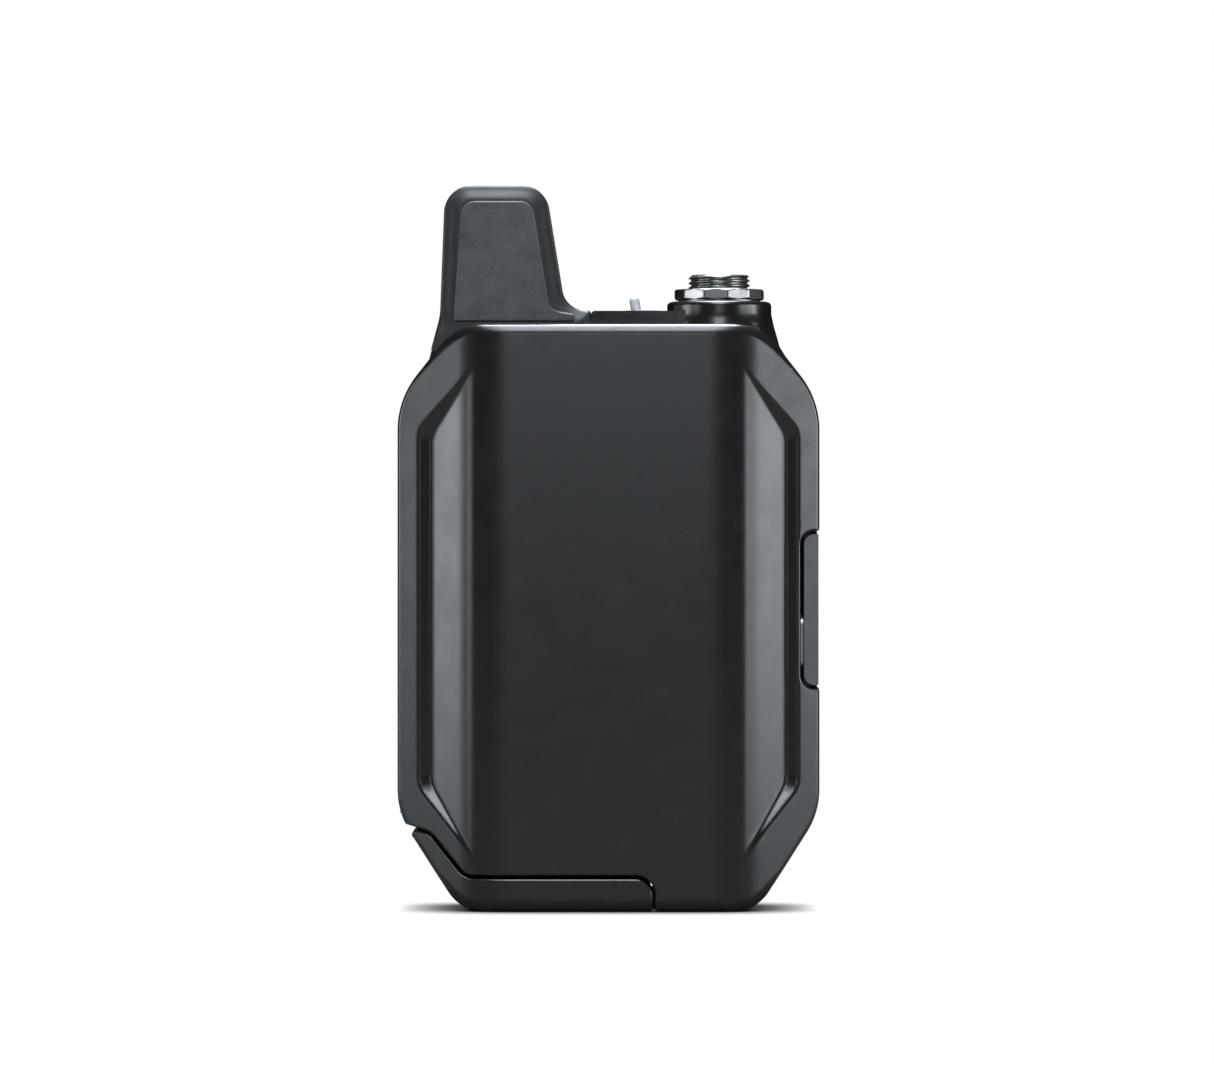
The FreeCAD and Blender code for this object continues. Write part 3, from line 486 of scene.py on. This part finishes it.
def front_y(points, gaps):
    """The cover's and door's front, with their outer rim and the edges of the seam rounded."""
    z = points[:, 1]
    rim_radius = RIM_RADIUS + RIM_TOP_EXTRA * eased_step(z, 82, 89) + RIM_LOW_EXTRA * eased_step(-z, -7, -1)
    rim = rolled(distance(points, BODY_OUTLINE), rim_radius)
    return FRONT + relief(points) + np.maximum(rim, rolled(gaps, SEAM_RADIUS))


def back_y(points, gaps):
    rim = rolled(distance(points, BODY_OUTLINE), BACK_RADIUS)
    return BACK - np.maximum(rim, rolled(gaps, SEAM_RADIUS))


def level(y, radius, way):
    """A flat face at y whose edge is rounded; way is +1 where the edge falls towards +Y."""
    return lambda points, gaps: y + way * rolled(gaps, radius)


# ---------------------------------------------------------------- casing
COVER_XS = bands((-31, -20, 0.3), (-20, -15, 0.5), (-15, 15, 1.5), (15, 20, 0.5), (20, 31.1, 0.3))
COVER_ZS = bands((0.6, 12, 0.6), (12, 32, 0.3), (32, 62, 0.9), (62, 84, 0.3), (84, 90, 0.6))
RIM_INSETS = (0.62, 0.82, 1.05, 1.35, 1.75)


def cavity():
    """The room inside the casing."""
    outline = grown(rounded(BODY_CORNERS, 1.2), -WALL)
    places = lattice(bands((-30, 30, 1.2)), bands((2, 88, 2.0)))
    return block("cavity", outline,
                 lambda points, gaps: FRONT + WALL + relief(points),
                 level(BACK - WALL, 0.3, -1), places, places)


def front_cover():
    """Cover with its two openings, for the battery door and for the side insert."""
    outline = clipped(BODY_OUTLINE, grown(rounded(DOOR_CORNERS), DOOR_GAP), keep_inside=False, radius=0.8)
    low = INSERT_LOW_Z - INSERT_GAP
    high = INSERT_HIGH_Z + INSERT_GAP
    left = INSERT_X - INSERT_GAP
    notch = rounded([(OUTSIDE_X, low, 0.0), (OUTSIDE_X, high, 0.0),
                     (left, high, INSERT_CORNER_RADIUS), (left, low, INSERT_CORNER_RADIUS)], 0.3)
    outline = clipped(outline, notch, keep_inside=False, radius=0.5)
    places = np.vstack([lattice(COVER_XS, COVER_ZS)] + edge_rows(outline, RIM_INSETS))
    made = block("front_cover_shell", outline, front_y, level(COVER_BACK, 0.12, -1), places,
                 lattice(bands((-31, 31, 3.0)), bands((1, 90, 3.0))))
    carve(made, cavity())
    smooth(made)
    return made


def battery_door():
    """Door with its hinge knuckles, the ribs beside the battery's pad and the finger that the bolt enters."""
    outline = clipped(BODY_OUTLINE, rounded(DOOR_CORNERS), keep_inside=True, radius=0.6)
    places = lattice(bands((-31, 7, 0.4)), bands((0.3, 14, 0.35)))
    places = np.vstack([places] + edge_rows(outline, RIM_INSETS[:3]))
    made = block("battery_door_shell", outline, front_y, back_y, places, places)
    lug_room = cuboid((2.6, LUG_LOW_Y, -1.0), (8.0, LUG_HIGH_Y, 4.0))
    carve(made, cavity(), lug_room)
    knuckles = [knuckle(-KNUCKLE_END_Y, LUG_LOW_Y), knuckle(LUG_HIGH_Y, KNUCKLE_END_Y)]
    pad_low, pad_high = extent("battery_pad")
    ribs = [cuboid((-19.0, y, 1.0), (-3.0, y + 1.2, pad_low.z)) for y in (pad_low.y, pad_high.y - 1.2)]
    finger = cuboid((-29.0, 0.0, 9.6), (-27.5, 2.4, 14.2))
    carve(finger, bolt_hole())
    add(made, *knuckles, *ribs, finger)
    smooth(made)
    return made


def bolt_hole():
    """Rod that leaves room for the lock's bolt, right through the finger."""
    sides = 32
    points = []
    for y in (-1.0, 3.4):
        for step in range(sides):
            angle = 2 * math.pi * step / sides
            points.append((LOCK_BOLT_X + BOLT_HOLE_RADIUS * math.cos(angle), y,
                           LOCK_BOLT_Z + BOLT_HOLE_RADIUS * math.sin(angle)))
    faces = [list(range(sides)), list(reversed(range(sides, 2 * sides)))]
    for step in range(sides):
        after = (step + 1) % sides
        faces.append([step, step + sides, after + sides, after])
    return new_object("bolt_hole", points, faces)


def knuckle(low_y, high_y):
    profile = [(HINGE_PIN_ROOM, low_y), (KNUCKLE_RADIUS, low_y),
               (KNUCKLE_RADIUS, high_y), (HINGE_PIN_ROOM, high_y)]
    return lathe("knuckle", profile, (DOOR_HINGE_X, 0, DOOR_HINGE_Z), 32, axis="y")


# ---------------------------------------------------------------- antenna
def antenna_front_shell():
    """Front half of the antenna: a narrow round rim, a sloping band, and a recess for the face panel."""
    full = rounded(ANTENNA_CORNERS, 0.3)
    outline = clipped(full, grown(BODY_OUTLINE, 0.02), keep_inside=False, radius=0.5)

    def front(points, gaps):
        gap = distance(points, full)
        band = 0.55 * (1 - eased_step(gap, 0.3, 2.3)) * eased_step(points[:, 1], 88.0, 93.5)
        return ANTENNA_FRONT + band + np.maximum(rolled(gap, 0.5), rolled(gaps, 0.15))

    places = np.vstack([lattice(bands((-28, -2.5, 0.6)), bands((84, 112, 0.6)))]
                       + edge_rows(outline, (0.62, 0.85, 1.1, 1.4, 1.8, 2.2)))
    made = block("antenna_front_half", outline, front, level(ANTENNA_SPLIT, 0.08, -1), places,
                 lattice(bands((-28, -2.5, 2.0)), bands((84, 112, 2.0))))
    middle = lattice([-15.0], [100.0])
    recess = block("recess", rounded(PANEL_CORNERS, 0.25), level(ANTENNA_FRONT - 2, 0.0, 1),
                   level(ANTENNA_FRONT + PANEL_RECESS, 0.0, -1), middle, middle)
    carve(made, recess)
    smooth(made)
    return made


def antenna_face_panel():
    outline = grown(rounded(PANEL_CORNERS, 0.25), -PANEL_GAP)
    low, high = extent("antenna_face_panel")
    places = lattice(bands((-24, -4, 0.7)), bands((91, 110, 0.7)))
    places = np.vstack([places] + edge_rows(outline, (0.6, 0.8)))
    made = block("antenna_face", outline, level(low.y, 0.28, 1), level(high.y, 0.05, -1), places,
                 lattice(bands((-24, -4, 2.0)), bands((91, 110, 2.0))))
    smooth(made)
    return made


# ---------------------------------------------------------------- microphone connector
def connector_barrel():
    """Threaded barrel; the thread is one helix cut into the outside above the nut."""
    top = BARREL_HIGH.z
    low = 84.0
    bore = 3.9
    shank = 5.2
    flange = 6.3
    flange_low, flange_top = 91.0, 92.3
    neck = 4.55
    major = 4.77
    thread_low = NUT_HIGH_CORNER.z - 0.6

    def thread(radius, height, angle):
        if radius < major - 0.01 or not thread_low < height < top - 0.001:
            return radius
        phase = ((height + THREAD_START) / THREAD_PITCH - angle / (2 * math.pi)) % 1.0
        cut = THREAD_DEPTH * min(1.0, max(0.0, 1.25 - abs(phase - 0.5) * 3.0))
        lead = max(0.0, 0.35 - (top - height)) * 0.9
        return radius - max(cut, lead)

    rows = np.arange(thread_low, top - 0.02, THREAD_PITCH / 14)
    profile = [(bore, low), (shank, low), (shank, flange_low), (flange, flange_low), (flange, flange_top),
               (neck, flange_top), (neck, thread_low - 0.05)]
    profile += [(major, height) for height in rows]
    profile += [(major - 0.38, top - 0.01), (major - 0.45, top), (bore + 0.12, top), (bore, top - 0.12)]
    made = lathe("microphone_barrel", profile, (CONNECTOR_X, CONNECTOR_Y, 0), 160, thread)
    smooth(made, 40.0)
    return made


def connector_nut():
    """Round-cornered nut with twelve flats, its corners turned off top and bottom."""
    low, high = NUT_LOW_CORNER.z, NUT_HIGH_CORNER.z
    bore = 4.58
    bore_mouth = 4.9
    corner_radius = 7.05
    chamfer = 0.08
    chamfer_grade = 1.35
    flat_radius = corner_radius * math.cos(math.pi / NUT_SIDES)
    sector = 2 * math.pi / NUT_SIDES

    def twelve_sided(radius, height, angle):
        if radius < corner_radius:
            return radius
        flat = flat_radius / math.cos((angle + NUT_TURN + sector / 2) % sector - sector / 2)
        turned = flat_radius - chamfer + chamfer_grade * min(high - height, height - low)
        return min(flat, turned)

    heights = [low, low + 0.06, low + 0.14, low + 0.24, low + 0.36]
    heights += [high - (height - low) for height in reversed(heights)]
    profile = [(bore, low)] + [(corner_radius, height) for height in heights]
    profile += [(bore_mouth, high), (bore, high - 0.3)]
    made = lathe("microphone_nut", profile, (CONNECTOR_X, CONNECTOR_Y, 0), NUT_SIDES * 16, twelve_sided)
    smooth(made, 30.0)
    return made


# ---------------------------------------------------------------- frame parts with eased edges
def softened(node, width):
    """A copy of a CAD node with its sharp edges rounded by that width."""
    made = bpy.data.objects.new(node + "_eased", frame["nodes"][node].data.copy())
    bpy.context.scene.collection.objects.link(made)
    work = bmesh.new()
    work.from_mesh(made.data)
    bmesh.ops.remove_doubles(work, verts=work.verts, dist=2e-6)
    bmesh.ops.dissolve_limit(work, angle_limit=math.radians(0.4), verts=work.verts, edges=work.edges)
    work.to_mesh(made.data)
    work.free()
    bevel = made.modifiers.new("round", "BEVEL")
    bevel.width = width * MM
    bevel.segments = 3
    bevel.limit_method = "ANGLE"
    bevel.angle_limit = math.radians(34)
    bevel.use_clamp_overlap = True
    bevel.miter_outer = "MITER_ARC"
    settle(made)
    smooth(made)
    return made


def rear_chassis():
    """Chassis whose deck has an undercut front wall, less and less so towards the round boss."""
    made = softened("rear_chassis", 0.25)
    for vertex in made.data.vertices:
        x, y, z = vertex.co / MM
        if z > HEIGHT - 0.1 and y < DECK_FRONT + 0.6 and x > DECK_LEFT - 0.1:
            share = min(1.0, max(0.0, (DECK_RIGHT - x) / DECK_FADE))
            vertex.co.y += share * (DECK_TOP - z) * DECK_LEAN * MM
    return made


def power_lever():
    """The lever with a stouter head, which stands a little higher out of its slot."""
    made = softened("power_lever", 0.05)
    pivot = Vector((LEVER_X, LEVER_Y, LEVER_Z)) * MM
    for vertex in made.data.vertices:
        if vertex.co.z > (LEVER_Z + LEVER_HEAD) * MM:
            vertex.co = pivot + (vertex.co - pivot) * LEVER_STRETCH
    return made


# ---------------------------------------------------------------- materials
def surface(name, color, roughness, metallic=0.0, *, grain=0.12, depth=0.004, mottle=0.1, spread=0.05,
            stretch=(1, 1, 1)):
    """Procedural finish: a fine grain that lifts the surface, and slow drifts of colour and gloss.

    Grain and depth are in mm; mottle and spread say how far the colour and the roughness drift.
    """
    look = bpy.data.materials.new(name)
    look.use_nodes = True
    nodes = look.node_tree.nodes
    link = look.node_tree.links.new
    shader = nodes["Principled BSDF"]
    shader.inputs["Metallic"].default_value = metallic
    place = nodes.new("ShaderNodeTexCoord")
    scaled = nodes.new("ShaderNodeMapping")
    scaled.inputs["Scale"].default_value = stretch
    link(place.outputs["Object"], scaled.inputs["Vector"])
    fine = nodes.new("ShaderNodeTexNoise")
    fine.inputs["Scale"].default_value = 1 / (grain * MM)
    fine.inputs["Detail"].default_value = 3.0
    link(scaled.outputs["Vector"], fine.inputs["Vector"])
    bump = nodes.new("ShaderNodeBump")
    bump.inputs["Distance"].default_value = depth * MM
    link(fine.outputs["Fac"], bump.inputs["Height"])
    link(bump.outputs["Normal"], shader.inputs["Normal"])
    slow = nodes.new("ShaderNodeTexNoise")
    slow.inputs["Scale"].default_value = 1 / (3.5 * MM)
    slow.inputs["Detail"].default_value = 4.0
    link(place.outputs["Object"], slow.inputs["Vector"])
    both = nodes.new("ShaderNodeMath")
    both.operation = "ADD"
    link(fine.outputs["Fac"], both.inputs[0])
    link(slow.outputs["Fac"], both.inputs[1])
    tint = nodes.new("ShaderNodeMapRange")
    tint.inputs["From Min"].default_value = 0.6
    tint.inputs["From Max"].default_value = 1.4
    link(both.outputs["Value"], tint.inputs["Value"])
    mix = nodes.new("ShaderNodeMix")
    mix.data_type = "RGBA"
    mix.inputs["A"].default_value = [channel * (1 - mottle) for channel in color] + [1]
    mix.inputs["B"].default_value = [channel * (1 + mottle) for channel in color] + [1]
    link(tint.outputs["Result"], mix.inputs["Factor"])
    link(mix.outputs["Result"], shader.inputs["Base Color"])
    gloss = nodes.new("ShaderNodeMapRange")
    gloss.inputs["From Min"].default_value = 0.3
    gloss.inputs["From Max"].default_value = 0.7
    gloss.inputs["To Min"].default_value = roughness - spread
    gloss.inputs["To Max"].default_value = roughness + spread
    link(slow.outputs["Fac"], gloss.inputs["Value"])
    link(gloss.outputs["Result"], shader.inputs["Roughness"])
    return look


def clear_lens():
    look = surface("lens_clear", (0.8, 0.84, 0.83), 0.3, grain=0.3, depth=0.002)
    shader = look.node_tree.nodes["Principled BSDF"]
    shader.inputs["Transmission Weight"].default_value = 0.6
    shader.inputs["IOR"].default_value = 1.49
    return look


LOOKS = {
    "casing_coat": surface("casing_coat", (0.0065, 0.0068, 0.0070), 0.25, grain=0.14, depth=0.0045,
                           mottle=0.2, spread=0.025),
    "antenna_plastic": surface("antenna_plastic", (0.009, 0.010, 0.0105), 0.42, grain=0.12, depth=0.004),
    "antenna_face": surface("antenna_face", (0.040, 0.043, 0.046), 0.42, grain=0.16, depth=0.014, mottle=0.6),
    "insert_plastic": surface("insert_plastic", (0.018, 0.0195, 0.021), 0.34, grain=0.14, depth=0.006),
    "nickel": surface("nickel", (0.24, 0.24, 0.236), 0.32, 1.0, grain=0.06, depth=0.001, mottle=0.03,
                      stretch=(0.3, 0.3, 3)),
    "steel": surface("steel", (0.56, 0.57, 0.58), 0.32, 1.0, grain=0.1, depth=0.002, mottle=0.06),
    "black_steel": surface("black_steel", (0.035, 0.036, 0.038), 0.38, 0.6, grain=0.12, depth=0.003),
    "gold": surface("gold", (0.86, 0.62, 0.26), 0.22, 1.0, grain=0.1, depth=0.001, mottle=0.04),
    "brass": surface("brass", (0.74, 0.55, 0.26), 0.3, 1.0, grain=0.08, depth=0.002, mottle=0.08,
                     stretch=(1, 5, 1)),
    "black_plastic": surface("black_plastic", (0.022, 0.022, 0.024), 0.5, grain=0.15, depth=0.004),
    "lever_plastic": surface("lever_plastic", (0.50, 0.50, 0.50), 0.38, grain=0.1, depth=0.002, mottle=0.03),
    "lens_clear": clear_lens(),
    "board_green": surface("board_green", (0.02, 0.11, 0.06), 0.35, grain=0.5, depth=0.004, mottle=0.2),
    "chip_black": surface("chip_black", (0.018, 0.018, 0.019), 0.6, grain=0.08, depth=0.004),
    "battery_wrap": surface("battery_wrap", (0.05, 0.055, 0.06), 0.45, grain=0.15, depth=0.004),
    "rubber": surface("rubber", (0.012, 0.012, 0.012), 0.75, grain=0.1, depth=0.006),
    "flex_amber": surface("flex_amber", (0.50, 0.22, 0.04), 0.3, grain=0.4, depth=0.002, mottle=0.15),
    "label_film": surface("label_film", (0.07, 0.072, 0.075), 0.4, grain=0.25, depth=0.002, mottle=0.05),
}
SLOTS = {part["node"]: part["material_slot"] for part in frame["record"]["subparts"]}


def stand_for(made, *nodes):
    """The piece takes the nodes' place, body and finish."""
    slot = SLOTS[nodes[0]]
    made.data.materials.clear()
    made.data.materials.append(LOOKS[slot])
    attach(made, frame["nodes"][nodes[0]]["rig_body"])
    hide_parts(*nodes)


# ---------------------------------------------------------------- the object
# Width of the rounding on the nodes that need nothing else.
SOFTENED = {
    "antenna_rear_shell": 0.4, "side_insert": 0.14, "link_button": 0.3, "usb_shell": 0.08, "usb_tongue": 0.12,
    "connector_washer": 0.06, "connector_insert": 0.15, "switch_bezel": 0.18, "case_screws": 0.12,
    "antenna_shell_screws": 0.1, "door_lock": 0.1, "clip_lugs": 0.35, "rear_label": 0.05, "battery_bay": 0.15,
    "battery_pad": 0.3, "status_light_pipe": 0.15}

for node, slot in SLOTS.items():
    for material_slot in frame["nodes"][node].material_slots:
        material_slot.material = LOOKS[slot]

stand_for(front_cover(), "front_cover")
stand_for(battery_door(), "battery_door")
stand_for(antenna_front_shell(), "antenna_front_shell")
stand_for(antenna_face_panel(), "antenna_face_panel")
stand_for(connector_barrel(), "connector_barrel")
stand_for(connector_nut(), "connector_nut")
stand_for(power_lever(), "power_lever")
stand_for(rear_chassis(), "rear_chassis")
for node, width in SOFTENED.items():
    stand_for(softened(node, width), node)


# ---------------------------------------------------------------- studio
# name, degrees round from the front, degrees up, width, height and power
SOFTBOXES = [
    ("front_low_box", 0, 8, 0.25, 0.12, 0.44), ("front_high_box", 0, 31, 0.3, 0.14, 1.6),
    ("left_near_box", -52, 0, 0.16, 0.4, 1.1), ("left_box", -72, 0, 0.16, 0.4, 2.13),
    ("left_far_box", -82, 0, 0.16, 0.4, 1.86), ("right_near_box", 52, 0, 0.16, 0.4, 1.5),
    ("right_mid_box", 62, 0, 0.16, 0.4, 1.0), ("right_box", 72, 0, 0.16, 0.4, 1.87),
    ("right_far_box", 82, 0, 0.16, 0.4, 2.8), ("front_top_box", 0, 50, 0.45, 0.3, 7.0),
    ("top_front_box", 0, 76, 0.4, 0.3, 6.0), ("top_box", 0, 106, 0.5, 0.5, 27.0)]
LIGHT_DISTANCE = 1.0
LIGHT_TINT = (0.87, 0.945, 1.0)
LIGHT_AIM = Vector((0, 0, 0.05))
FILL_STRENGTH = 0.004
CONTACT_SHADOW_REACH = 0.008


def softbox(name, around, up, wide, tall, power):
    """Rectangular area light that faces the object's middle."""
    light = bpy.data.lights.new(name, "AREA")
    light.shape = "RECTANGLE"
    light.size = wide
    light.size_y = tall
    light.energy = power
    light.color = LIGHT_TINT
    turn = math.radians(around)
    rise = math.radians(up)
    way = Vector((math.sin(turn) * math.cos(rise), -math.cos(turn) * math.cos(rise), math.sin(rise)))
    made = bpy.data.objects.new(name, light)
    made.location = LIGHT_AIM + way * LIGHT_DISTANCE
    made.rotation_euler = (-way).to_track_quat("-Z", "Y").to_euler()
    bpy.context.scene.collection.objects.link(made)


def floor_paper():
    """Pale paper. The camera sees it evenly lit, with a soft shadow only where the object stands."""
    look = surface("floor_paper", (0.12, 0.12, 0.12), 0.7, grain=1.5, depth=0.01, mottle=0.01)
    nodes = look.node_tree.nodes
    link = look.node_tree.links.new
    open_sky = nodes.new("ShaderNodeAmbientOcclusion")
    open_sky.inputs["Distance"].default_value = CONTACT_SHADOW_REACH
    fall = nodes.new("ShaderNodeMath")
    fall.operation = "POWER"
    fall.inputs[1].default_value = 2.0
    link(open_sky.outputs["AO"], fall.inputs[0])
    glow = nodes.new("ShaderNodeEmission")
    link(fall.outputs["Value"], glow.inputs["Color"])
    path = nodes.new("ShaderNodeLightPath")
    mix = nodes.new("ShaderNodeMixShader")
    link(path.outputs["Is Camera Ray"], mix.inputs["Fac"])
    link(nodes["Principled BSDF"].outputs["BSDF"], mix.inputs[1])
    link(glow.outputs["Emission"], mix.inputs[2])
    link(mix.outputs["Shader"], nodes["Material Output"].inputs["Surface"])
    return look


def studio():
    for box in SOFTBOXES:
        softbox(*box)
    reach = 3000
    corners = [(-reach, -reach, 0), (reach, -reach, 0), (reach, reach, 0), (-reach, reach, 0)]
    floor = new_object("floor", corners, [(0, 1, 2, 3)])
    floor.data.materials.append(floor_paper())
    world = bpy.data.worlds.new("studio")
    world.use_nodes = True
    nodes = world.node_tree.nodes
    link = world.node_tree.links.new
    seen = nodes["Background"]
    seen.inputs["Color"].default_value = (1, 1, 1, 1)
    seen.inputs["Strength"].default_value = 1.0
    lit = nodes.new("ShaderNodeBackground")
    lit.inputs["Color"].default_value = (1, 1, 1, 1)
    lit.inputs["Strength"].default_value = FILL_STRENGTH
    path = nodes.new("ShaderNodeLightPath")
    mix = nodes.new("ShaderNodeMixShader")
    link(path.outputs["Is Camera Ray"], mix.inputs["Fac"])
    link(lit.outputs["Background"], mix.inputs[1])
    link(seen.outputs["Background"], mix.inputs[2])
    link(mix.outputs["Shader"], nodes["World Output"].inputs["Surface"])
    bpy.context.scene.world = world
    bpy.context.scene.view_settings.view_transform = "Standard"


def camera():
    """Level, square to the front, about a metre away."""
    data = bpy.data.cameras.new("camera")
    data.sensor_width = 36.0
    data.lens = 192.1
    made = bpy.data.objects.new("camera", data)
    made.location = (-0.23 * MM, -1.003, 57.7 * MM)
    made.rotation_euler = (math.pi / 2, 0, 0)
    bpy.context.scene.collection.objects.link(made)
    bpy.context.scene.camera = made


studio()
camera()
